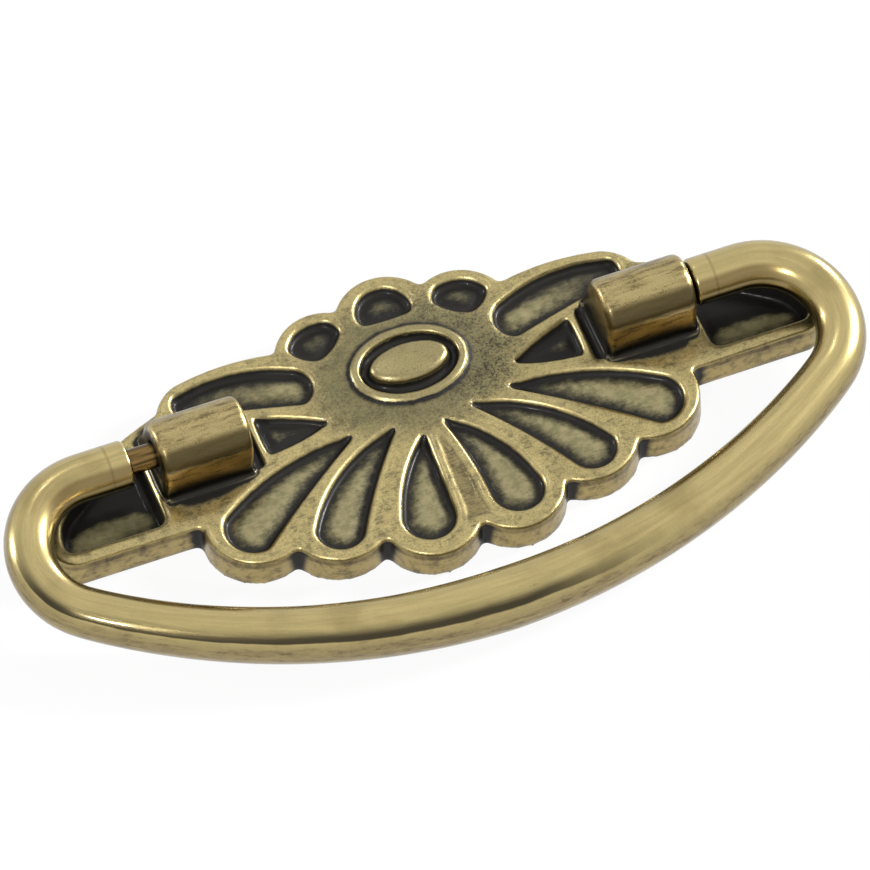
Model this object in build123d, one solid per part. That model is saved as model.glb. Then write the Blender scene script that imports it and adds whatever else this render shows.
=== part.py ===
from build123d import *
from math import asin, cos, degrees, radians, sin
import os

os.makedirs("parts", exist_ok=True)

# Drop pull for a drawer: a cast rosette of sunk petals and shells with two knuckles, and a
# bail that hangs in them. Millimetres. The back lies on z = 0, the bail's legs run along X,
# the bow hangs towards -Y, and the origin is midway between the two fixing screws.

# Plate and its fixing
screw_pitch = 64.0
plate_t = 5.0
edge_draft = 2.5
edge_round = 0.6
valley_round = 0.7
arm_round = 1.5
oval_y = 4.6

# Sunk panels on the front
panel_depth = 1.2
panel_wall = 15
panel_lip = 0.3
tip_round = 0.45
petal_round = 1.6
wing_round = 1.2
shell_round = 0.9

# Deep trough along each arm
arm_floor = 1.8
trough_inner_x = 39.3
trough_low_y = -12.3
trough_wall = 8
trough_round = 1.5

# Oval boss in the middle
ring_a = 8.2
ring_b = 6.0
ring_w = 1.35
ring_h = 0.75
ring_root = 0.3
groove_depth = 0.6
dome_a = 5.75
dome_b = 3.15
dome_rise = 1.9
dome_wall = 8
dome_round = 0.5

# Knuckles
pivot_z = 10.0
knuckle_r = 4.5
knuckle_len = 12.9
knuckle_inner_x = 25.5
knuckle_round = 1.0
knuckle_back_y = 7.0
knuckle_root = 1.7
moat_w = 1.7
moat_len = 9.0
moat_y = 0.5
moat_depth = 0.6

# Bail
leg_r = 3.3
shoulder_swell = 0.15
side_swell = 0.57
bow_r = 4.28
bow_lift = 0.05
half_span = 57.6
corner_r = 10.35
corner_end = -53.5
shoulder_r = 54.5
shoulder_end = -57.4
leg_end_x = 40.4
leg_end_round = 0.7
end_play_used = -1.65
tenon_r = 1.75
tenon_len = 9.6
running_clearance = 0.07
bore_len = 10.6

# Back of the plate
core_depth = 2.2
core_round = 0.9
core_wall = 3
post_r = 4.0
tap_r = 1.65
tap_depth = 7.2

top = plate_t
knuckle_outer_x = knuckle_inner_x + knuckle_len
bore_r = tenon_r + running_clearance


def arcs(points):
    """Arcs through start, middle, end, middle, end and so on."""
    chain = []
    for i in range(0, len(points) - 2, 2):
        chain.append(ThreePointArc(points[i], points[i + 1], points[i + 2]))
    return chain


def both_sides(shape):
    return [shape, mirror(shape, about=Plane.YZ)]


def upright(solid):
    """The walls of an extruded solid."""
    return solid.faces().filter_by(lambda f: abs(f.normal_at().Z) < 0.01)


# Outline of the rosette and its two arms about the oval's centre: the top lobe, then the
# right side from there round to the bottom valley. The ends of its lobes are valleys, those
# of the arm's arcs are joints, and all of them are rounded.
arm_foot = (35.2, -14.4)
top_lobe = [(-6.2, 11.75), (0, 15.3), (6.2, 11.75)]
upper_lobes = [(6.2, 11.75), (12.2, 12.3), (16.3, 8.4), (24.0, 9.15), (31.0, 8.3), (33.2, 6.9), (34.6, 4.9)]
arm = [(34.6, 4.9), (41.2, 2.3), (47.5, -0.8), (53.6, -5.0), (55.7, -9.8), (54.8, -13.0), (51.2, -14.3)]
lower_lobes = [arm_foot, (33.5, -20.7), (24.5, -22.2), (18.9, -26.5), (12.8, -24.8), (7.1, -30.2), (0, -27.0)]
valleys = [upper_lobes[0], upper_lobes[2], arm[0], arm_foot, *lower_lobes[2::2]]
joints = [upper_lobes[4], *arm[2::2]]


def round_corners(face, spots, radius):
    """Round the corners of a face that lie at the given spots, on both sides."""
    corners = []
    for x, y in spots:
        for v in face.vertices():
            if abs(abs(v.X) - x) < 0.05 and abs(v.Y - y) < 0.05:
                corners.append(v)
    return fillet(corners, radius)


edges = arcs(top_lobe)
for edge in arcs(upper_lobes) + arcs(arm) + [Line(arm[-1], arm_foot)] + arcs(lower_lobes):
    edges += both_sides(edge)
outline = make_face(edges)
outline = round_corners(outline, valleys, valley_round)
outline = round_corners(outline, joints, arm_round)
slab = extrude(outline, amount=plate_t)
body = draft(upright(slab), neutral_plane=Plane.XY.offset(top), angle=edge_draft)
body = fillet(body.faces().sort_by(Axis.Z)[-1].outer_wire().edges(), edge_round)

# Sunk panels about the oval's centre, right side, each as a loop of arcs. A petal starts at
# its point. The inner petal on the left is shorter than the one on the right.
inner_petal = [(0.7, -9.3), (6.3, -14.4), (9.7, -22.2), (7.2, -27.5), (2.6, -24.0), (2.2, -17.2)]
short_petal = [(-1.9, -10.6), (-6.3, -15.4), (-9.7, -22.2), (-7.2, -27.5), (-2.6, -24.0), (-2.3, -17.2)]
middle_petal = [(4.7, -8.4), (14.4, -12.5), (21.5, -20.6), (19.8, -24.3), (15.3, -23.5), (11.1, -16.6)]
outer_petal = [(10.3, -7.7), (22.4, -9.4), (32.0, -14.3), (32.3, -19.2), (28.2, -21.1), (20.2, -14.7)]
wing = [
    (31.7, 6.6), (24.0, 7.6), (15.4, 5.4), (13.1, 2.0), (15.4, -0.9), (23.6, 1.3), (31.8, 3.2), (32.4, 4.9),
]
kite = [(13.0, -4.7), (17.8, -2.2), (22.8, -0.4), (23.0, -3.6), (22.8, -6.9), (17.6, -6.2)]
side_shell = [
    (14.5, 8.1), (12.7, 10.4), (9.6, 11.1), (7.3, 10.3), (6.7, 8.4), (8.5, 6.4), (11.0, 5.1), (13.2, 6.2),
]
top_shell = [(4.0, 9.9), (0, 13.5), (-4.0, 9.9), (-3.9, 9.0), (-3.4, 8.2), (0, 8.0), (3.4, 8.2), (3.9, 9.0)]


def panel_face(points, first_round, corner_round):
    face = make_face(arcs(points + [points[0]]))
    first = face.vertices().sort_by_distance(Vector(*points[0]))[0]
    face = fillet(first, first_round)
    rest = [face.vertices().sort_by_distance(Vector(*spot))[0] for spot in points[2::2]]
    return fillet(rest, corner_round)


panels = [panel_face(inner_petal, tip_round, petal_round)]
panels.append(panel_face(short_petal, tip_round, petal_round))
for points in (middle_petal, outer_petal):
    panels += both_sides(panel_face(points, tip_round, petal_round))
panels += both_sides(panel_face(wing, wing_round, wing_round))
panels += both_sides(panel_face(kite, tip_round, tip_round))
panels += both_sides(panel_face(side_shell, shell_round, shell_round))
panels.append(panel_face(top_shell, shell_round, shell_round))

# The trough follows the arm, under the bail's leg.
trough_rim = arcs([(trough_inner_x, 0.9), (45.5, -1.9), (50.2, -5.0), (52.9, -8.0), (53.6, -11.1)])
trough_end = ThreePointArc((53.6, -11.1), (53.0, -12.0), (51.8, trough_low_y))
trough_foot = Line((51.8, trough_low_y), (trough_inner_x, trough_low_y))
trough_head = Line((trough_inner_x, trough_low_y), (trough_inner_x, 0.9))
trough = make_face(trough_rim + [trough_end, trough_foot, trough_head])
trough = fillet(trough.vertices(), trough_round)


def sink(body, face, depth, wall):
    """Sink a panel with sloping walls and a broken lip."""
    tool = extrude(Pos(0, 0, top - depth) * face, amount=depth)
    body -= draft(upright(tool), neutral_plane=Plane.XY.offset(top), angle=-wall)
    middle = face.faces()[0].outer_wire().center(CenterOf.BOUNDING_BOX) + Vector(0, 0, top)
    front = body.faces().filter_by(Plane.XY).sort_by(Axis.Z)[-1]
    rims = front.inner_wires()
    rim = rims.sort_by(lambda w: (w.center(CenterOf.BOUNDING_BOX) - middle).length)[0]
    return chamfer(rim.edges(), panel_lip)


for face in panels:
    body = sink(body, face, panel_depth, panel_wall)
for face in both_sides(trough):
    body = sink(body, face, plate_t - arm_floor, trough_wall)

# Oval boss: a rounded ring, a groove and a raised oval.
ring_hole = Ellipse(ring_a - ring_w, ring_b - ring_w)
ring = extrude(Pos(0, 0, top - ring_root) * (Ellipse(ring_a, ring_b) - ring_hole), amount=ring_root + ring_h)
ring = fillet(ring.faces().sort_by(Axis.Z)[-1].edges(), ring_w * 0.42)
groove = extrude(Pos(0, 0, top) * ring_hole, amount=-groove_depth)
dome = extrude(Pos(0, 0, top - groove_depth) * Ellipse(dome_a, dome_b), amount=dome_rise, taper=dome_wall)
dome = fillet(dome.faces().sort_by(Axis.Z)[-1].edges(), dome_round)
body = body - groove + ring + dome
body = Pos(0, oval_y, 0) * body

# Knuckles: barrels that run out down their backs, bored from their outer ends for the bail's
# pins, each with a short moat at its inner end.
seat = top - knuckle_root
barrel = Pos(0, pivot_z) * Circle(knuckle_r)
profile = make_hull(barrel.edges() + [Line((-knuckle_r, seat), (knuckle_back_y, seat))])
knuckle = extrude(Plane.YZ.offset(knuckle_inner_x) * profile, amount=knuckle_len)
for end in (Axis.X, -Axis.X):
    rim = knuckle.faces().sort_by(end)[-1].edges().filter_by(lambda e: e.center().Z > seat + 0.1)
    knuckle = fillet(rim, knuckle_round)
bore = extrude(Plane.YZ.offset(knuckle_outer_x) * Pos(0, pivot_z) * Circle(bore_r), amount=-bore_len)
moat = Pos(knuckle_inner_x - moat_w / 2, moat_y, top) * RectangleRounded(moat_w, moat_len, moat_w * 0.45)
moat = extrude(moat, amount=-moat_depth)
for shape in both_sides(moat):
    body -= shape
for shape in both_sides(knuckle):
    body += shape
for shape in both_sides(bore):
    body -= shape

# Back: cored out inside a rim that follows the lobes, with a tapped post under each knuckle.
core_lobe = [(-5.0, 10.4), (0, 13.4), (5.0, 10.4)]
core_half = [
    (5.0, 10.4), (10.4, 10.9), (15.2, 6.9), (24.0, 7.3), (31.0, 6.4), (34.9, 2.4), (36.2, -3.0), (35.8, -9.0),
    (33.4, -14.6), (31.8, -19.6), (24.0, -20.3), (18.6, -24.6), (12.4, -22.9), (6.8, -28.3), (0, -25.1),
]
edges = arcs(core_lobe)
for edge in arcs(core_half):
    edges += both_sides(edge)
core = make_face(edges)
core = Pos(0, oval_y, 0) * fillet(core.vertices(), core_round)
for side in (-1, 1):
    core -= Pos(side * screw_pitch / 2, 0) * Circle(post_r)
well = extrude(core, amount=core_depth)
body -= draft(upright(well), neutral_plane=Plane.XY, angle=-core_wall)
for side in (-1, 1):
    body -= Pos(side * screw_pitch / 2, 0, 0) * extrude(Circle(tap_r), amount=tap_depth)
print("backplate", len(body.solids()), body.volume, body.is_valid)
export_step(body.solid(), "parts/backplate.step")

# Bail: straight legs, tight corners, a wide bow that swells to its middle, and a pin on each
# leg's end. It is drawn flat, then hung from the pins with its bow on the table.


def along(center, radius, angle):
    return (center[0] + radius * cos(radians(angle)), center[1] + radius * sin(radians(angle)))


corner_x = half_span - corner_r
corner_c = (corner_x, -corner_r)
corner_p = along(corner_c, corner_r, corner_end)
shoulder_c = along(corner_c, corner_r - shoulder_r, corner_end)
shoulder_p = along(shoulder_c, shoulder_r, shoulder_end)
big_r = shoulder_r + shoulder_c[0] / cos(radians(shoulder_end))
bow_c = (0, shoulder_c[1] - (big_r - shoulder_r) * sin(radians(shoulder_end)))
bow_depth = big_r - bow_c[1]
half_path = [
    Line((leg_end_x, 0), (corner_x, 0)),
    ThreePointArc((corner_x, 0), along(corner_c, corner_r, 20), corner_p),
    ThreePointArc(corner_p, along(shoulder_c, shoulder_r, (corner_end + shoulder_end) / 2), shoulder_p),
    ThreePointArc(shoulder_p, along(bow_c, big_r, (shoulder_end - 90) / 2), (0, -bow_depth)),
]
path = Wire(half_path)
stations = [(0, leg_r), (0.1, leg_r), (0.36, leg_r + shoulder_swell), (0.68, leg_r + side_swell), (1, bow_r)]
sections = [Plane(path @ t, z_dir=path % t) * Circle(r) for t, r in stations]
half_bail = sweep(sections, path=path, multisection=True)
leg_end = half_bail.faces().filter_by(lambda f: abs(f.center().X - leg_end_x) < 0.01)
half_bail = fillet(leg_end.edges(), leg_end_round)
pin = extrude(Plane.YZ.offset(leg_end_x + 0.5) * Circle(tenon_r), amount=-tenon_len - 0.5)
pin = chamfer(pin.faces().sort_by(Axis.X)[0].edges(), 0.4)
half_bail += pin
bail = half_bail + mirror(half_bail, about=Plane.YZ)
hang = degrees(asin((pivot_z - bow_r - bow_lift) / bow_depth))
bail = Pos(end_play_used, 0, pivot_z) * Rot(hang, 0, 0) * bail
print("bail", len(bail.solids()), bail.volume, bail.is_valid)
print("bow radius", round(big_r, 3), "depth", round(bow_depth, 3), "hang", round(hang, 3))
export_step(bail.solid(), "parts/bail.step")
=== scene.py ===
import bpy
import bmesh
import math
import numpy as np
from mathutils import Vector, Matrix, noise
from mathutils.bvhtree import BVHTree


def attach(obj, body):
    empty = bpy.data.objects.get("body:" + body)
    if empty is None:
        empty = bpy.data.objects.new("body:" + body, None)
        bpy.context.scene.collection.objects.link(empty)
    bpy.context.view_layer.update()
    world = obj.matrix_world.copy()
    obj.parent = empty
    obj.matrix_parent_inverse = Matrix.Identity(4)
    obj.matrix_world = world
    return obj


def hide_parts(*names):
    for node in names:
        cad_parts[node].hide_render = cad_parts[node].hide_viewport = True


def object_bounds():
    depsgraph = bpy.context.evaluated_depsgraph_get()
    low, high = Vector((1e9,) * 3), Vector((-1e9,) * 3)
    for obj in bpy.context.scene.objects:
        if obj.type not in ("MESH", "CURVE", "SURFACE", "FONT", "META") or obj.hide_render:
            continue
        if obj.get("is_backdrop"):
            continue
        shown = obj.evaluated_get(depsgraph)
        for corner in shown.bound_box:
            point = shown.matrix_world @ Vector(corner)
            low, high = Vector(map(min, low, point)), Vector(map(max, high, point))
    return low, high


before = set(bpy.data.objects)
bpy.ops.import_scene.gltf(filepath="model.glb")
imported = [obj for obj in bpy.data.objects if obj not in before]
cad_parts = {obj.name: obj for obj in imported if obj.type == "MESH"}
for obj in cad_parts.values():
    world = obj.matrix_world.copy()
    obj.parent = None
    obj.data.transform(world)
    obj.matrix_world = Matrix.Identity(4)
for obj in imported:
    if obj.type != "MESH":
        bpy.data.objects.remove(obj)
cadBox = [list(corner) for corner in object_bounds()]
mm = 0.001


def meshObject(name, bm):
    mesh = bpy.data.meshes.new(name)
    bm.to_mesh(mesh)
    bm.free()
    obj = bpy.data.objects.new(name, mesh)
    bpy.context.scene.collection.objects.link(obj)
    for poly in mesh.polygons:
        poly.use_smooth = True
    return obj


# camera: as the picture was taken, nearly parallel
cameraSet = {
    "azimuth": -21.3,
    "elevation": 55.6,
    "distance": 1500 * mm,
    "sensor": 36,
    "clip": (0.05, 20),
    "pxPerMm": 7.42,
    "target": (0, 4.6 * mm, 5.0 * mm),  # middle of the oval boss, on the plate's face
    "targetPx": (409.2, 364.0),         # where the target lies in the picture
    "picture": 870,
}


def makeCamera(c):
    az, el = math.radians(c["azimuth"]), math.radians(c["elevation"])
    right = Vector((math.cos(az), math.sin(az), 0))
    up = Vector((-math.sin(az) * math.sin(el), math.cos(az) * math.sin(el), math.cos(el)))
    back = Vector((math.sin(az) * math.cos(el), -math.cos(az) * math.cos(el), math.sin(el)))
    half = c["picture"] / 2
    offX = (c["targetPx"][0] - half) / c["pxPerMm"] * mm
    offY = (half - c["targetPx"][1]) / c["pxPerMm"] * mm
    data = bpy.data.cameras.new("photoCamera")
    data.sensor_width = c["sensor"]
    data.lens = c["sensor"] * c["pxPerMm"] * c["distance"] / mm / c["picture"]
    data.clip_start, data.clip_end = c["clip"]
    cam = bpy.data.objects.new("photoCamera", data)
    cam.location = Vector(c["target"]) + back * c["distance"] - right * offX - up * offY
    cam.rotation_euler = Matrix((right, up, back)).transposed().to_euler()
    bpy.context.scene.collection.objects.link(cam)
    bpy.context.scene.camera = cam
    print("camera: lens", round(data.lens, 1))


makeCamera(cameraSet)


# shader kit: a socket that can be added, multiplied and so on
class Wire:
    def __init__(self, look, socket):
        self.look, self.socket = look, socket

    def out(self, name):  # another output of the same node
        return Wire(self.look, self.socket.node.outputs[name])

    def math(self, operation, *others):
        values = dict(enumerate((self, *others)))
        return self.look.node("ShaderNodeMath", {"operation": operation}, values)

    def __add__(self, other):
        return self.math("ADD", other)

    def __sub__(self, other):
        return self.math("SUBTRACT", other)

    def __mul__(self, other):
        return self.math("MULTIPLY", other)

    def __rsub__(self, other):
        return self.look.node("ShaderNodeMath", {"operation": "SUBTRACT"}, {0: other, 1: self})

    __radd__ = __add__
    __rmul__ = __mul__

    def clamp(self):
        return self.look.node("ShaderNodeClamp", {}, {0: self})

    def most(self, other):
        return self.math("MAXIMUM", other)

    def between(self, low, high):  # eased from 0 at low to 1 at high
        settings = {"interpolation_type": "SMOOTHSTEP", "clamp": True}
        return self.look.node("ShaderNodeMapRange", settings, {0: self, 1: low, 2: high})

    def under(self, low, high):
        return 1.0 - self.between(low, high)

    def within(self, low, high, falling, gone):  # up over the first pair, down over the second
        return self.between(low, high) * self.under(falling, gone)


# the node tree of a material or a world
class Look:
    def __init__(self, owner, shader="Principled BSDF"):
        owner.use_nodes = True
        self.owner = owner
        self.tree = owner.node_tree
        self.shader = self.tree.nodes[shader]

    def put(self, value, socket):
        if isinstance(value, Wire):
            self.tree.links.new(value.socket, socket)
        else:
            socket.default_value = value

    def node(self, kind, settings, values, out=0):
        made = self.tree.nodes.new(kind)
        for key, value in settings.items():
            setattr(made, key, value)
        for key, value in values.items():
            self.put(value, made.inputs[key])
        return Wire(self, made.outputs[out])

    def feed(self, **values):
        for key, value in values.items():
            self.put(value, self.shader.inputs[key.replace("_", " ")])

    def objectMm(self):  # Object coordinates in millimetres
        return self.inMm(self.node("ShaderNodeTexCoord", {}, {}, "Object"))

    def inMm(self, vector):
        return self.stretched(vector, (1 / mm, 1 / mm, 1 / mm))

    def stretched(self, place, scale):
        return self.node("ShaderNodeVectorMath", {"operation": "MULTIPLY"}, {0: place, 1: scale})

    def parts(self, vector):
        x = self.node("ShaderNodeSeparateXYZ", {}, {0: vector}, "X")
        return x, x.out("Y"), x.out("Z")

    def attribute(self, name, out="Fac"):
        return self.node("ShaderNodeAttribute", {"attribute_name": name}, {}, out)

    def noise(self, place, scale, detail, rough):
        inputs = {"Vector": place, "Scale": scale, "Detail": detail, "Roughness": rough}
        return self.node("ShaderNodeTexNoise", {}, inputs)

    def blend(self, mask, low, high):
        low, high = [v if isinstance(v, Wire) else (*v, 1) for v in (low, high)]
        settings = {"data_type": "RGBA", "blend_type": "MIX"}
        # sockets 6 and 7 are the two colours, output 2 the blended one
        return self.node("ShaderNodeMix", settings, {0: mask, 6: low, 7: high}, 2)

    def layers(self, colour, *coats):  # coats of (mask, colour), laid one over the other
        for mask, coat in coats:
            colour = self.blend(mask, colour, coat)
        return colour

    def bump(self, height, strength, depth):
        inputs = {"Strength": strength, "Distance": depth, "Height": height}
        self.feed(Normal=self.node("ShaderNodeBump", {}, inputs))


# the casting: the CAD shape recast as one soft skin
castSet = {
    "merge": 0.002 * mm,               # joins the CAD node's loose triangles
    "voxel": 0.35 * mm,
    "soften": 2,
    "footSoften": 6,                   # evens the sharp edge round the back
    "footHeight": 0.7 * mm,
    "face": 5.0 * mm,                  # height of the front face
    "ovalY": 4.6 * mm,                 # middle of the oval boss
    "knuckleX": (25.3 * mm, 38.6 * mm),
    "knuckleY": 8 * mm,                # no knuckle reaches further from the pins
    "pivotHeight": 10.0 * mm,
    "boreFace": 3.5 * mm,              # radius of the black round each pin
    "plugFace": (3.3 * mm, 4.2 * mm),  # of the brown on the inner faces, fading outwards
    "crown": 0.42 * mm,                # how far a floor rises in its middle
    "crownReach": (0.5 * mm, 2.4 * mm),
    "leaf": 0.32 * mm,                 # dish of the leaf in the middle rib
    "leafReach": (0.7 * mm, 1.5 * mm),
    "leafHalf": (3.3 * mm, 4.6 * mm),
    "leafFrom": (9 * mm, 14 * mm),     # below the oval boss
    "dome": (0.34 * mm, 0.14 * mm),    # pillow of the raised oval: rise and drop
    "domeRing": (5.75, 3.15),          # its half axes, in mm
    "bossRing": (8.2, 6.0),            # half axes of the boss's outer ring, in mm
    "ripple": 0.045 * mm,              # unevenness of the cast skin
    "rippleSize": 2.6 * mm,
    "aboveBack": 1 * mm,               # what is lower belongs to the back
    "aboveCore": 3 * mm,               # the panels' floors lie higher than this
    "facing": (0.5, 0.8),              # upward part of a normal that counts as front
    "faceReach": 0.3 * mm,             # what counts as on the face
    "domeFrom": (0.4 * mm, 1.1 * mm),  # above the face
    "innerLip": 0.25 * mm,             # how far the knuckles' paint starts before them
    "innerSkin": 0.9 * mm,
    "outerSkin": 0.7 * mm,
    "pitRing": (0.98, 1.08, 1.5, 2.3),  # in boss rings, from the oval's middle
    "pitSides": (-3 * mm, 8 * mm),     # more pits to the right
    "ribRing": (1.25, 2.4),
    "fineRounds": 6,                   # narrow smoothing, to find the creases
    "broadRounds": 50,                 # wide smoothing, to tell hollows from ridges
    "mapFrom": (-60 * mm, -30 * mm),
    "mapCells": (601, 271),
    "mapStep": 0.2 * mm,
    "rimWidth": 0.7 * mm,              # no panel lies nearer to the outline
    "sunkDepth": 0.35 * mm,
    "levelSlack": 0.08 * mm,
    "tallest": 2.6 * mm,               # above the face, nothing taller counts in the maps
    "backFade": (0.6 * mm, 1.4 * mm),  # the back of the plate is plain
}


def smoothed(points, edges, count, rounds):
    for _ in range(rounds):
        total = np.zeros_like(points)
        for k in range(points.shape[1]):
            total[:, k] = np.bincount(edges[:, 0], points[edges[:, 1], k], len(points))
            total[:, k] += np.bincount(edges[:, 1], points[edges[:, 0], k], len(points))
        points = 0.5 * points + 0.5 * total / count[:, None]
    return points


def eased(values, low, high):
    t = np.clip((values - low) / (high - low), 0, 1)
    return t * t * (3 - 2 * t)


def blurred(grid, cells, rounds=1):
    for axis in (0, 1) * rounds:
        total = grid.copy()
        for k in range(1, cells + 1):
            total += np.roll(grid, k, axis) + np.roll(grid, -k, axis)
        grid = total / (2 * cells + 1)
    return grid


def depthInside(mask, step, rounds):
    # how far each cell lies inside its patch
    depth = np.zeros(mask.shape)
    for k in range(rounds):
        depth[mask] += step
        kept = mask.copy()
        for axis in (0, 1):
            kept &= np.roll(mask, 1, axis) & np.roll(mask, -1, axis)
        if k % 2:
            for a in (-1, 1):
                for b in (-1, 1):
                    kept &= np.roll(mask, (a, b), (0, 1))
        mask = kept
    return blurred(depth, 1)


def reliefMaps(node, c):
    # heights of the front as seen from straight ahead, and what follows from them
    bm = bmesh.new()
    bm.from_mesh(node.data)
    tree = BVHTree.FromBMesh(bm)
    bm.free()
    (lowX, lowY), step, face = c["mapFrom"], c["mapStep"], c["face"]
    heights = np.zeros(c["mapCells"])
    above, down = 50 * mm, Vector((0, 0, -1))
    for i, j in np.ndindex(heights.shape):
        hit = tree.ray_cast(Vector((lowX + i * step, lowY + j * step, above)), down)[0]
        if hit:
            heights[i, j] = hit.z
    solid = heights > c["aboveBack"]
    inland = depthInside(solid, step, 6) > c["rimWidth"]
    sunk = inland & (heights < face - c["sunkDepth"])
    level = np.abs(heights - face) < c["levelSlack"]
    flat = np.where(inland, np.minimum(heights, face + c["tallest"]), face)
    print("relief: cells on the face", int(level.sum()), "sunk", int(sunk.sum()))
    return {
        "floorDepth": depthInside(sunk, step, 14),
        "faceDepth": blurred(depthInside(level, step, 14), 2),
        "sunk": blurred(sunk.astype(float), 1),
        "near": blurred(flat, 3, 2) - flat,
        "wide": blurred(flat, 11, 2) - flat,
        "notch": blurred(solid.astype(float), 6, 2),
    }


def sampled(grid, points, c):
    # the map's value under each point, evened out between the cells
    (lowX, lowY), step = c["mapFrom"], c["mapStep"]
    u = np.clip((points[:, 0] - lowX) / step, 0, grid.shape[0] - 1.001)
    v = np.clip((points[:, 1] - lowY) / step, 0, grid.shape[1] - 1.001)
    i, j = u.astype(int), v.astype(int)
    fu, fv = u - i, v - j
    top = grid[i, j] * (1 - fu) + grid[i + 1, j] * fu
    bottom = grid[i, j + 1] * (1 - fu) + grid[i + 1, j + 1] * fu
    return top * (1 - fv) + bottom * fv


def softSkin(node, c):
    bm = bmesh.new()
    bm.from_mesh(node.data)
    bmesh.ops.remove_doubles(bm, verts=bm.verts, dist=c["merge"])
    rough = meshObject("castingRough", bm)
    remesh = rough.modifiers.new("skin", "REMESH")
    remesh.mode = "VOXEL"
    remesh.voxel_size = c["voxel"]
    bpy.context.view_layer.update()
    deps = bpy.context.evaluated_depsgraph_get()
    bm = bmesh.new()
    bm.from_mesh(bpy.data.meshes.new_from_object(rough.evaluated_get(deps)))
    bpy.data.objects.remove(rough)
    evenly = {"factor": 0.5, "use_axis_x": True, "use_axis_y": True}
    for _ in range(c["soften"]):
        bmesh.ops.smooth_vert(bm, verts=bm.verts, use_axis_z=True, **evenly)
    foot = [v for v in bm.verts if v.co.z < c["footHeight"]]
    for _ in range(c["footSoften"]):
        bmesh.ops.smooth_vert(bm, verts=foot, use_axis_z=False, **evenly)
    print("casting skin:", len(bm.verts), "vertices", len(bm.faces), "faces")
    return meshObject("castBackplate", bm)


def readRows(items, key, width, kind=float):
    values = np.zeros(len(items) * width, kind)
    items.foreach_get(key, values)
    return values.reshape(-1, width)


def makeCasting(c):
    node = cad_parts["backplate"]
    maps = reliefMaps(node, c)
    casting = softSkin(node, c)
    mesh = casting.data
    points = readRows(mesh.vertices, "co", 3)
    normals = readRows(mesh.vertices, "normal", 3)
    edges = readRows(mesh.edges, "vertices", 2, int)
    count = np.bincount(edges.ravel(), minlength=len(points)).astype(float)
    fine = smoothed(points, edges, count, c["fineRounds"])
    broad = smoothed(fine, edges, count, c["broadRounds"])
    hollow = ((broad - points) * normals).sum(1) / mm
    crease = ((fine - points) * normals).sum(1) / mm
    at = np.stack([sampled(grid, points, c) for grid in maps.values()], 1)
    at = dict(zip(maps, smoothed(at, edges, count, 2).T))
    for name in ("sunk", "near", "wide"):
        at[name] = at[name] * eased(points[:, 2], *c["backFade"])
    # hand work on the skin: crowned floors, dished ribs, a slightly uneven cast
    face = c["face"]
    front = eased(normals[:, 2], *c["facing"]) * (points[:, 2] > c["aboveBack"])
    fromOval = points[:, 1] - c["ovalY"]
    onFloor = front * eased(at["sunk"], 0.5, 1.0) * (points[:, 2] > c["aboveCore"])
    onRib = front * (np.abs(points[:, 2] - face) < c["faceReach"])
    onRib *= eased(-fromOval, *c["leafFrom"]) * (1 - eased(np.abs(points[:, 0]), *c["leafHalf"]))
    leaf = onRib * eased(at["faceDepth"], *c["leafReach"])
    lift = c["crown"] * onFloor * eased(at["floorDepth"], *c["crownReach"])
    lift -= c["leaf"] * leaf
    halfX, halfY = c["domeRing"]
    ring = np.hypot(points[:, 0] / halfX, fromOval / halfY) / mm
    onDome = (ring < 1.02) * eased(points[:, 2] - face, *c["domeFrom"])
    rise, drop = c["dome"]
    lift += (rise * (1 - ring ** 2) - drop) * onDome
    swell = np.array([noise.noise(Vector(p) / c["rippleSize"]) for p in points])
    lift += c["ripple"] * swell * front * (points[:, 2] < face + c["faceReach"])
    points[:, 2] += lift
    mesh.vertices.foreach_set("co", points.ravel())
    mesh.update()
    # what the patina needs to know
    inner, outer = c["knuckleX"]
    across, height = np.abs(points[:, 0]), points[:, 2] - c["pivotHeight"]
    barrel = (across > inner - c["innerLip"]) & (across < outer)
    barrel &= (points[:, 2] > face + 0.1 * mm) & (np.abs(points[:, 1]) < c["knuckleY"])
    fromAxis = np.hypot(points[:, 1], height)
    halfX, halfY = c["bossRing"]
    ring = np.hypot(points[:, 0] / halfX, fromOval / halfY) / mm
    start, full, falling, gone = c["pitRing"]
    pits = eased(ring, start, full) * (1 - eased(ring, falling, gone)) * front
    pits *= 0.45 + 0.55 * eased(points[:, 0], *c["pitSides"])
    endFace = (across > outer - c["outerSkin"]) & barrel & (fromAxis < c["boreFace"])
    innerFace = (across < inner + c["innerSkin"]) & barrel
    known = {
        "hollow": hollow,
        "crease": crease,
        "sunk": at["sunk"],
        "floorDepth": at["floorDepth"] / mm,
        "faceDepth": at["faceDepth"] / mm,
        "near": at["near"] / mm,
        "wide": at["wide"] / mm,
        "barrel": barrel,
        "turn": np.degrees(np.arctan2(height, -points[:, 1])) / 90,  # round the pins
        "pits": pits,
        "leaf": leaf,
        "notch": at["notch"],
        "ribs": eased(ring, *c["ribRing"]),
        "endFace": endFace,
        "innerFace": innerFace * (1 - eased(fromAxis, *c["plugFace"])),
    }
    for name, values in known.items():
        layer = mesh.attributes.new(name, "FLOAT", "POINT")
        layer.data.foreach_set("value", np.asarray(values, np.float32))
    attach(casting, "plate")
    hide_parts("backplate")
    return casting


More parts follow.
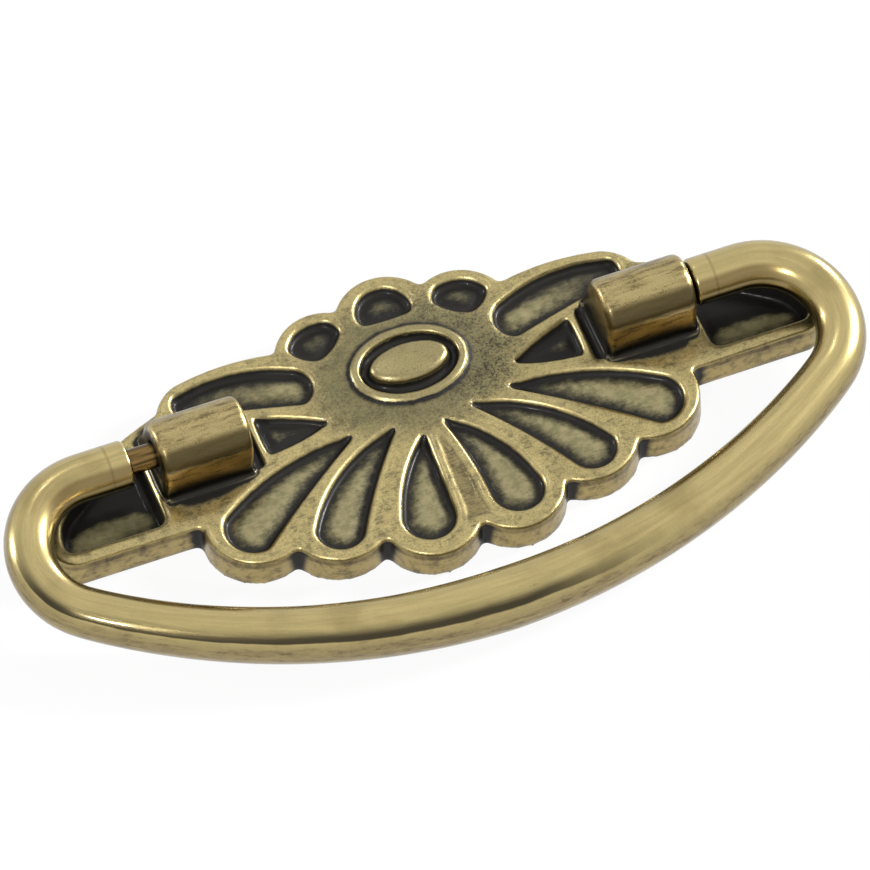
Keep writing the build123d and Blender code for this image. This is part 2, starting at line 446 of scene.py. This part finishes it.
# the bail: drawn as one round bar, laid down ring by ring from a pin to the bow's middle
bailSet = {
    "sides": 48,
    "tipRadius": 1.3 * mm,             # the pin's chamfered tip
    "tipLength": 0.4 * mm,
    "pinRadius": 1.75 * mm,
    "pinEnd": 30.8 * mm,
    "neck": 0.2 * mm,                  # last stretch of the pin before the leg
    "legEnd": 40.4 * mm,
    "endRound": 0.7 * mm,
    "legRadius": 3.3 * mm,
    "middleRadius": 4.28 * mm,         # of the bar, at the middle of the bow
    "swellAlong": (0, 0.1, 0.36, 0.68, 1),
    "swellShare": (0, 0, 0.153, 0.582, 1),
    "halfSpan": 57.6 * mm,
    "cornerRadius": 10.35 * mm,
    "cornerTurn": 143.5,
    "shoulderRadius": 54.5 * mm,
    "shoulderTurn": 3.9,
    "pivotHeight": 10.0 * mm,
    "bowLift": 0.05 * mm,
    "endPlay": -1.65 * mm,
    "insideY": -10 * mm,               # a point inside the loop, to tell inner from outer
    "pinSteps": 8,
    "roundSteps": 5,
    "legSteps": 6,
    "cornerSteps": 30,
    "shoulderSteps": 4,
    "bowSteps": 44,
}


def pointing(angle):
    return Vector((math.cos(angle), math.sin(angle), 0))


def makeBail(c):
    bm = bmesh.new()
    flowLayer = bm.verts.layers.float_vector.new("flow")
    alongLayer = bm.verts.layers.float.new("along")
    origin, start = Vector(), Vector((c["pinEnd"], 0, 0))
    upright = Matrix.Rotation(math.radians(90), 3, "Y")
    bmesh.ops.create_circle(bm, cap_ends=False, segments=c["sides"], radius=c["tipRadius"])
    bmesh.ops.rotate(bm, verts=bm.verts, cent=origin, matrix=upright)
    bmesh.ops.translate(bm, verts=bm.verts, vec=start)
    rings = [(0.0, list(bm.verts))]
    bmesh.ops.contextual_create(bm, geom=bm.edges[:])
    state = {"radius": c["tipRadius"], "centre": start.copy()}

    def nextRing(move=0, turn=None, radius=None):
        # pulled out of the last ring, then moved along, swung round a pivot or resized
        length, old = rings[-1]
        inRing = set(old)
        edges = [e for v in old for e in v.link_edges if e.other_vert(v) in inRing]
        made = bmesh.ops.extrude_edge_only(bm, edges=list(dict.fromkeys(edges)))
        new = [g for g in made["geom"] if isinstance(g, bmesh.types.BMVert)]
        before = state["centre"].copy()
        if move:
            bmesh.ops.translate(bm, verts=new, vec=(move, 0, 0))
            state["centre"] += Vector((move, 0, 0))
        if turn:
            pivot, degrees = turn
            spin = Matrix.Rotation(math.radians(degrees), 3, "Z")
            bmesh.ops.rotate(bm, verts=new, cent=pivot, matrix=spin)
            state["centre"] = pivot + spin @ (state["centre"] - pivot)
        if radius:
            grow = radius / state["radius"]
            place = Matrix.Translation(-state["centre"])
            bmesh.ops.scale(bm, verts=new, vec=(grow, grow, grow), space=place)
            state["radius"] = radius
        rings.append((length + (state["centre"] - before).length, new))

    nextRing(move=c["tipLength"], radius=c["pinRadius"])
    pinRun = c["legEnd"] - c["pinEnd"] - c["tipLength"] - c["neck"]
    for _ in range(c["pinSteps"]):
        nextRing(move=pinRun / c["pinSteps"])
    nextRing(move=c["neck"])
    rounding, flatRadius = c["endRound"], c["legRadius"] - c["endRound"]
    nextRing(radius=flatRadius)
    turns = [math.radians(90 * k / c["roundSteps"]) for k in range(c["roundSteps"] + 1)]
    for a0, a1 in zip(turns, turns[1:]):  # quarter round of the leg's end
        step = rounding * (math.cos(a0) - math.cos(a1))
        nextRing(move=step, radius=flatRadius + rounding * math.sin(a1))
    cornerX = c["halfSpan"] - c["cornerRadius"]
    for _ in range(c["legSteps"]):
        nextRing(move=(cornerX - c["legEnd"] - rounding) / c["legSteps"])
    # three arcs that meet smoothly, the last with its middle on x = 0
    pivotA = Vector((cornerX, -c["cornerRadius"], 0))
    angleA = math.radians(90 - c["cornerTurn"])
    pivotB = pivotA - (c["shoulderRadius"] - c["cornerRadius"]) * pointing(angleA)
    angleB = angleA - math.radians(c["shoulderTurn"])
    bowRadius = c["shoulderRadius"] + pivotB.x / math.cos(angleB)
    pivotC = pivotB - (bowRadius - c["shoulderRadius"]) * pointing(angleB)
    arcs = [
        (pivotA, c["cornerTurn"], c["cornerRadius"], c["cornerSteps"]),
        (pivotB, c["shoulderTurn"], c["shoulderRadius"], c["shoulderSteps"]),
        (pivotC, math.degrees(angleB) + 90, bowRadius, c["bowSteps"]),
    ]
    run = cornerX - c["legEnd"]
    whole = run + sum(math.radians(turn) * radius for _, turn, radius, _ in arcs)
    for pivot, turn, radius, steps in arcs:
        for _ in range(steps):
            run += math.radians(turn) * radius / steps
            share = float(np.interp(run / whole, c["swellAlong"], c["swellShare"]))
            thick = c["legRadius"] + (c["middleRadius"] - c["legRadius"]) * share
            nextRing(turn=(pivot, -turn / steps), radius=thick)
    depth = bowRadius - pivotC.y
    print("bail: bow radius", round(bowRadius / mm, 2), "depth", round(depth / mm, 2))
    # where each vertex lies along and around the bar
    inside = Vector((0, c["insideY"], 0))
    for length, verts in rings:
        middle = sum((v.co for v in verts), Vector()) / len(verts)
        for v in verts:
            r = v.co - middle
            flat = Vector((r.x, r.y, 0))
            side = math.copysign(flat.length, flat.dot(v.co - inside))
            v[alongLayer] = length
            v[flowLayer] = Vector((rings[-1][0] - length, side, r.z))
    for v in rings[-1][1]:
        v.co.x = 0
    half = bm.verts[:] + bm.edges[:] + bm.faces[:]
    unmoved = Matrix.Identity(4)
    bmesh.ops.mirror(bm, geom=half, matrix=unmoved, merge_dist=0.01 * mm, axis="X")
    bmesh.ops.recalc_face_normals(bm, faces=bm.faces)
    for v in bm.verts:  # so that the streaks run on across the middle
        if v.co.x < 0:
            v[flowLayer] = v[flowLayer] * Vector((-1, 1, 1))
    # hung so that the bow just rests on the table
    hang = math.asin((c["pivotHeight"] - c["middleRadius"] - c["bowLift"]) / depth)
    tilt = Matrix.Rotation(hang, 3, "X")
    bmesh.ops.rotate(bm, verts=bm.verts, cent=origin, matrix=tilt)
    bmesh.ops.translate(bm, verts=bm.verts, vec=(c["endPlay"], 0, c["pivotHeight"]))
    openEdges = sum(1 for e in bm.edges if not e.is_manifold)
    print("bail:", len(bm.verts), "vertices, open edges", openEdges)
    bail = meshObject("bailBar", bm)
    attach(bail, "bail")
    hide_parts("bail")
    return bail


casting = makeCasting(castSet)
bail = makeBail(bailSet)


# antiqued brass: bright where it is rubbed, black where the patina was left
castPaint = {
    "rim": (0.200, 0.174, 0.084),
    "brown": (0.105, 0.080, 0.040),
    "olive": (0.172, 0.156, 0.075),
    "bright": (0.490, 0.400, 0.185),
    "gold": (0.480, 0.386, 0.166),
    "rubbed": (0.250, 0.217, 0.112),
    "black": (0.012, 0.011, 0.009),
    "amber": (0.420, 0.265, 0.085),
    "tan": (0.400, 0.322, 0.145),
    "bronze": (0.270, 0.205, 0.085),
    "umber": (0.070, 0.052, 0.018),
    "side": (0.375, 0.285, 0.110),
    "shadowLine": (0.060, 0.040, 0.018),
    "cloud": (0.22, 4.0, 0.55),        # textures: scale per mm, detail, roughness
    "patch": (0.7, 5.0, 0.65),
    "grain": (4.5, 4.0, 0.7),
    "fleck": (2.6, 5.0, 0.75),
    "brush": (1.0, 5.0, 0.7),
    "streak": (1.0, 6.0, 0.7),
    "brushStretch": (0.7, 3.2, 3.2),   # long along x
    "streakStretch": (0.22, 1.1, 1.1),
    "shellY": (7.0, 9.5),              # places in mm, each with soft borders
    "troughX": (39.0, 40.0),
    "troughY": (-4.0, -1.2),
    "troughShift": 0.7,                # the right trough is darker
    "kiteX": (11.0, 13.0, 23.5, 24.5),
    "kiteY": (-3.2, -2.2, 4.0, 4.6),
    "wallZ": (4.3, 4.7),
    "shadowLineZ": (3.3, 3.8, 3.9, 4.5),
    "footZ": (0.0, 1.7),
    "plugZ": (8.0, 12.8),
    "darkReflectionTurn": (0.08, 0.2, 0.52, 0.68),  # round the knuckles: 0 the bow's side, 1 the top
    "amberReflectionTurn": (0.02, 0.18),
    "footShadeTurn": (-0.46, -0.2),
    "roughness": 0.27,
    "specular": 0.18,
    "coat": (0.08, 0.16),              # in the patina, and what the open brass adds
    "coatRoughness": 0.1,
    "bump": (0.4, 0.1 * mm),           # strength, depth
}


def castBrass(p):
    look = Look(bpy.data.materials.new("castAntiqueBrass"))
    place = look.objectMm()
    x, y, z = look.parts(place)
    outward = x.math("ABSOLUTE")
    names = ("hollow", "crease", "sunk", "floorDepth", "near", "wide", "barrel", "turn")
    hollow, crease, sunk, floorDepth, near, wide, barrel, turn = map(look.attribute, names)
    names = ("faceDepth", "pits", "leaf", "notch", "ribs", "endFace", "innerFace")
    faceDepth, pits, leaf, notch, ribs, endFace, innerFace = map(look.attribute, names)
    names = ("cloud", "patch", "grain", "fleck")
    cloud, patch, grain, fleck = [look.noise(place, *p[name]) for name in names]
    brush = look.noise(look.stretched(place, p["brushStretch"]), *p["brush"])
    streak = look.noise(look.stretched(place, p["streakStretch"]), *p["streak"])
    patchy, grainy, brushy, streaky = [t - 0.5 for t in (patch, grain, brush, streak)]
    mottled = patch + brushy * 0.5
    # the open brass of the front, with gold on the ribs and rims, brushed with brown
    gilt = ribs * (0.45 + (brush + grainy * 0.5).between(0.34, 0.6) * 0.5)
    gilt = gilt * (1.0 - (patch + brushy * 0.9).between(0.48, 0.66) * 0.8)
    brass = look.layers(
        look.blend(cloud.between(0.42, 0.62), p["rim"], p["olive"]),
        ((patch + brushy * 0.6).between(0.5, 0.72) * 0.65, p["brown"]),
        (grain.between(0.52, 0.7) * 0.34, p["bright"]),
        (gilt, p["gold"]),
        (faceDepth.under(0.15, 0.8) * 0.4, p["bright"]),
        (grain.under(0.36, 0.5) * 0.42, p["brown"]),
        (leaf.between(0.3, 0.8) * (0.35 + brush.between(0.4, 0.6) * 0.4), p["brown"]),
        (leaf.within(0.03, 0.2, 0.25, 0.6) * 0.25, p["bright"]),
    )
    # rubbed middles of the sunk floors, least in the shells and the kites; the backs of the
    # troughs are kept black as painted shadow under the bail's legs
    shell = y.between(*p["shellY"])
    troughLegShadow = (y + x.between(-1.0, 1.0) * p["troughShift"]).between(*p["troughY"])
    troughLegShadow = troughLegShadow * outward.between(*p["troughX"])
    kite = outward.within(*p["kiteX"]) * y.within(*p["kiteY"])
    patinaAndLegShadow = shell * 0.7 + troughLegShadow * 2.8 + kite * 0.85
    rub = floorDepth + patchy * 1.5 + grainy * 0.4 + brushy * 0.9 - patinaAndLegShadow
    rub = rub.between(0.75, 2.5) * (1.0 - shell * 0.45)
    middle = look.blend(mottled.between(0.35, 0.62), p["olive"], p["rubbed"])
    floorLook = look.blend(rub, p["black"], middle)
    # side walls: a painted shadow line, brown, under the top edge, and brown towards the foot
    bare = 1.0 - barrel
    wall = z.under(*p["wallZ"]) * bare
    shadowLine = z.within(*p["shadowLineZ"]) * (patch * 1.5).clamp()
    side = look.layers(
        p["side"],
        (mottled.between(0.44, 0.68) * 0.65, p["brown"]),
        (z.under(*p["footZ"]) * cloud.between(0.38, 0.55) * 0.75, p["brown"]),
        (shadowLine * 0.7, p["shadowLine"]),
    )
    # knuckles: tan on top with streaks, then painted reflections round the barrel, a dark band
    # with amber below it, and painted shade, black, at the foot
    at = turn + streaky * 0.22
    drawn = streak + grainy * 0.5
    amberReflection = at.under(*p["amberReflectionTurn"])
    knuckleStreaksAndReflections = look.layers(
        look.blend(drawn.between(0.4, 0.6), p["tan"], p["bronze"]),
        (turn.between(1.25, 1.6) * streak.between(0.35, 0.6), p["brown"]),
        (drawn.between(0.54, 0.66) * 0.75, p["brown"]),
        (at.within(*p["darkReflectionTurn"]) * 0.92, p["umber"]),
        (amberReflection, p["amber"]),
        (amberReflection * (streak + grainy * 0.4).between(0.5, 0.62) * 0.8, p["umber"]),
        (at.under(*p["footShadeTurn"]), p["black"]),
        ((fleck + grain * 0.3).between(0.73, 0.84) * 0.7, p["umber"]),
    )
    # painted reflection on the knuckles' inner end faces: umber below, amber above
    plugReflection = z.between(*p["plugZ"]) * (streak + grainy * 0.6).between(0.3, 0.6)
    plug = look.blend(plugReflection, p["umber"], p["amber"])
    # where the patina stays
    noisy = grainy * 0.16 + patchy * 0.2 + brushy * 0.14
    dark = (hollow + noisy).between(0.08, 0.4)
    dark = dark.most((near + noisy * 0.8).between(0.0, 0.15) * bare)
    dark = dark.most((wide + noisy * 1.4).between(0.1, 0.5) * bare * z.between(4.2, 4.6))
    foot = (hollow + noisy * 0.4).between(-0.02, 0.16)
    dark = dark.most(foot * z.under(4.5, 4.8) * bare)
    notched = (notch + noisy * 0.2).between(0.5, 0.62)
    dark = dark.most(notched * wall * z.under(4.2, 4.6))
    dark = dark.most(crease.between(0.05, 0.14))
    dark = dark.most((fleck + patchy * 0.25).between(0.46, 0.6) * pits * 0.9)
    dark = dark.most(endFace)
    covered = sunk.between(0.25, 0.75)
    colour = look.layers(
        brass,
        (wall, side),
        (barrel, knuckleStreaksAndReflections),
        (innerFace * (patch + 0.45).clamp(), plug),
        (dark, p["black"]),
        (covered, floorLook),
    )
    closed = dark.most(covered * (1.0 - rub))
    rough = p["roughness"] + grain * 0.14 + closed * 0.1
    look.feed(Base_Color=colour, Metallic=1.0 - closed * 0.8, Roughness=rough)
    coat, more = p["coat"]
    look.feed(Coat_Weight=coat + (1.0 - closed) * more, Coat_Roughness=p["coatRoughness"])
    look.feed(Specular_IOR_Level=p["specular"])
    relief = grain * 0.35 + fleck.between(0.5, 0.7) * (pits * -1.2) + patch * 0.7 + brush * 0.3
    look.bump(relief, *p["bump"])
    return look.owner


barPaint = {
    "light": (0.530, 0.425, 0.185),
    "olive": (0.415, 0.340, 0.142),
    "brown": (0.048, 0.030, 0.010),
    # painted dark, for the bar's reflection band and its shaded underside
    "paintedDark": (0.030, 0.023, 0.010),
    "amber": (0.165, 0.110, 0.036),
    "dull": (0.255, 0.194, 0.092),
    "pin": (0.230, 0.145, 0.052),
    "streak": (1.0, 6.0, 0.65),        # textures: scale per mm, detail, roughness
    "cloud": (0.12, 3.0, 0.5),
    "grain": (3.5, 4.0, 0.7),
    "speck": (1.0, 6.0, 0.75),
    "streakStretch": (0.09, 1.5, 1.5),  # long along the bar
    "speckStretch": (0.5, 1.6, 1.6),
    "pinToBar": (2.2, 2.8),            # radius in mm
    "lowerTurn": (0.25, 0.62),         # quarter turns round the bar: 0 outer side, 1 top
    "barReflectionTurn": (0.5, 0.54, 0.62, 0.86),
    "innerTurn": (1.2, 1.36),
    "seatTurn": (1.78, 1.96),
    "undersideTurn": (-0.55, -0.1),
    "barReflectionAlong": (26, 38),           # in mm along the bar from the pin's tip
    "barReflectionX": (0, 26),                # in mm from the plate's middle
    "innerAlong": (20, 30),
    "seatAlong": (34, 60),
    "seamAlong": (12.3, 12.5, 12.7, 12.9),
    "roughness": 0.16,
    "coat": (0.02, 0.33),              # on the pins, and what the bar adds
    "coatRoughness": 0.08,
    "bump": (0.2, 0.1 * mm),           # strength, depth
}


def barBrass(p):
    look = Look(bpy.data.materials.new("rubbedBailBrass"))
    across = look.parts(look.objectMm())[0]
    flow = look.inMm(look.attribute("flow", "Vector"))
    _, side, up = look.parts(flow)
    along = look.attribute("along") * (1 / mm)
    turn = up.math("ARCTAN2", side) * (2 / math.pi)
    thick = (side * side + up * up).math("POWER", 0.5)
    onBar = thick.between(*p["pinToBar"])
    streak = look.noise(look.stretched(flow, p["streakStretch"]), *p["streak"])
    cloud, grain = [look.noise(flow, *p[name]) for name in ("cloud", "grain")]
    speck = look.noise(look.stretched(flow, p["speckStretch"]), *p["speck"])
    streaky = streak - 0.5
    # painted shade: a duller, darker lower half of the bar, with real scratches in it
    shadedLowerHalf = turn.under(*p["lowerTurn"])
    worn = (streak + speck * 0.6 + (grain - 0.5) * 0.3).between(0.6, 0.88)
    scratched = (speck + streaky * 0.6).between(0.52, 0.66)
    # amber and brown on the inner side of the legs and corners, and painted shade, near black,
    # underneath
    wavy = turn + ((cloud - 0.5) * 0.1 + streaky * 0.05)
    inner = wavy.between(*p["innerTurn"]) * (1.0 - along.between(*p["innerAlong"]) * 0.92)
    seat = wavy.between(*p["seatTurn"]) * (1.0 - along.between(*p["seatAlong"]) * 0.6)
    paintedUnderside = turn.under(*p["undersideTurn"])
    # painted reflection: a dark band along the shoulder of the bow, fading to the right
    darkBarReflection = wavy.within(*p["barReflectionTurn"])
    darkBarReflection = darkBarReflection * along.between(*p["barReflectionAlong"]) * across.under(*p["barReflectionX"])
    # a thin line round each leg
    seam = along.within(*p["seamAlong"]) * streak
    bar = look.layers(
        look.blend((streak * 0.6 + grain * 0.4).between(0.38, 0.62), p["olive"], p["light"]),
        (cloud.between(0.5, 0.7) * 0.3, p["amber"]),
        (grain.between(0.5, 0.7) * 0.4, p["dull"]),
        (shadedLowerHalf * (0.42 + worn * 0.55), p["dull"]),
        (shadedLowerHalf * scratched * 0.45, p["brown"]),
        (inner * (streak * 0.7 + 0.4).clamp(), p["amber"]),
        (seat, p["brown"]),
        # painted dark: the reflection band and the shade underneath
        ((darkBarReflection * 0.96).most(paintedUnderside * 0.85), p["paintedDark"]),
        (seam * 0.5, p["brown"]),
        ((speck + grain * 0.2).between(0.74, 0.86) * 0.8, p["brown"]),
    )
    # painted shade and highlight on the pins: brown below, lighter above
    pin = look.blend(turn.between(0.3, 0.9) * streak.between(0.3, 0.6), p["brown"], p["pin"])
    rough = p["roughness"] + streak * 0.12 + grain * 0.06
    look.feed(Base_Color=look.blend(onBar, pin, bar), Metallic=1.0, Roughness=rough)
    coat, more = p["coat"]
    look.feed(Coat_Weight=coat + onBar * more, Coat_Roughness=p["coatRoughness"])
    look.bump(streak + speck * 0.3 + grain * 0.1, *p["bump"])
    return look.owner


for piece, material in ((casting, castBrass(castPaint)), (bail, barBrass(barPaint))):
    piece.data.materials.clear()
    piece.data.materials.append(material)
print("paint: cast brass and bail brass")


# floor, backdrop and lamps
studioSet = {
    "floorSize": 3.0,
    "floorDrop": 0.05 * mm,
    "floorGrey": 0.85,
    "floorGlow": 0.93,                 # share of plain white in what the camera sees
    "worldLight": 0.55,
    "lamps": [                         # name, place, size, power
        ("rightLamp", (0.86, 0.02, 0.43), 0.18, 13.0),
        ("leftLamp", (-0.70, 0.46, 0.18), 0.12, 2.4),
        ("backLamp", (0.62, 0.44, 0.20), 0.10, 2.0),
        ("frontLamp", (-0.47, -0.60, 0.66), 0.08, 3.4),
        ("highLamp", (-0.03, 0.51, 0.82), 0.05, 0.26),
    ],
}


def seenRays(look):
    # 1 for what the camera sees, straight, mirrored or through glass, and 0 for lighting
    camera = look.node("ShaderNodeLightPath", {}, {}, "Is Camera Ray")
    return camera.most(camera.out("Is Glossy Ray")).most(camera.out("Is Transmission Ray"))


def makeStudio(c):
    scene, white, grey = bpy.context.scene, (1, 1, 1, 1), c["floorGrey"]
    bm = bmesh.new()
    bmesh.ops.create_grid(bm, x_segments=1, y_segments=1, size=c["floorSize"])
    bmesh.ops.translate(bm, verts=bm.verts, vec=(0, 0, -c["floorDrop"]))
    floor = meshObject("studioFloor", bm)
    look = Look(bpy.data.materials.new("paleFloor"))
    look.feed(Base_Color=(grey, grey, grey, 1), Roughness=0.9, Specular_IOR_Level=0.0)
    plain = Wire(look, look.shader.outputs[0])
    glow = look.node("ShaderNodeEmission", {}, {"Color": white, "Strength": 1.0})
    share = seenRays(look) * c["floorGlow"]
    mixed = look.node("ShaderNodeMixShader", {}, {0: share, 1: plain, 2: glow})
    look.put(mixed, look.tree.nodes["Material Output"].inputs["Surface"])
    floor.data.materials.append(look.owner)
    floor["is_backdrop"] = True
    # the world shows white and lights less
    scene.world = bpy.data.worlds.new("studioWorld")
    sky = Look(scene.world, "Background")
    sky.feed(Color=white, Strength=seenRays(sky) * (1 - c["worldLight"]) + c["worldLight"])
    for name, spot, size, power in c["lamps"]:
        data = bpy.data.lights.new(name, "AREA")
        data.size = size
        data.energy = power
        lamp = bpy.data.objects.new(name, data)
        lamp.location = spot
        lamp.rotation_euler = (-Vector(spot)).to_track_quat("-Z", "Y").to_euler()
        scene.collection.objects.link(lamp)
    scene.view_settings.view_transform = "Standard"
    print("studio: floor and", len(c["lamps"]), "lamps")


makeStudio(studioSet)

newBox = [list(corner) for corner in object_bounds()]
for title, (low, high) in (("size", newBox), ("CAD size", cadBox)):
    print(title, [round((b - a) / mm, 2) for a, b in zip(low, high)])
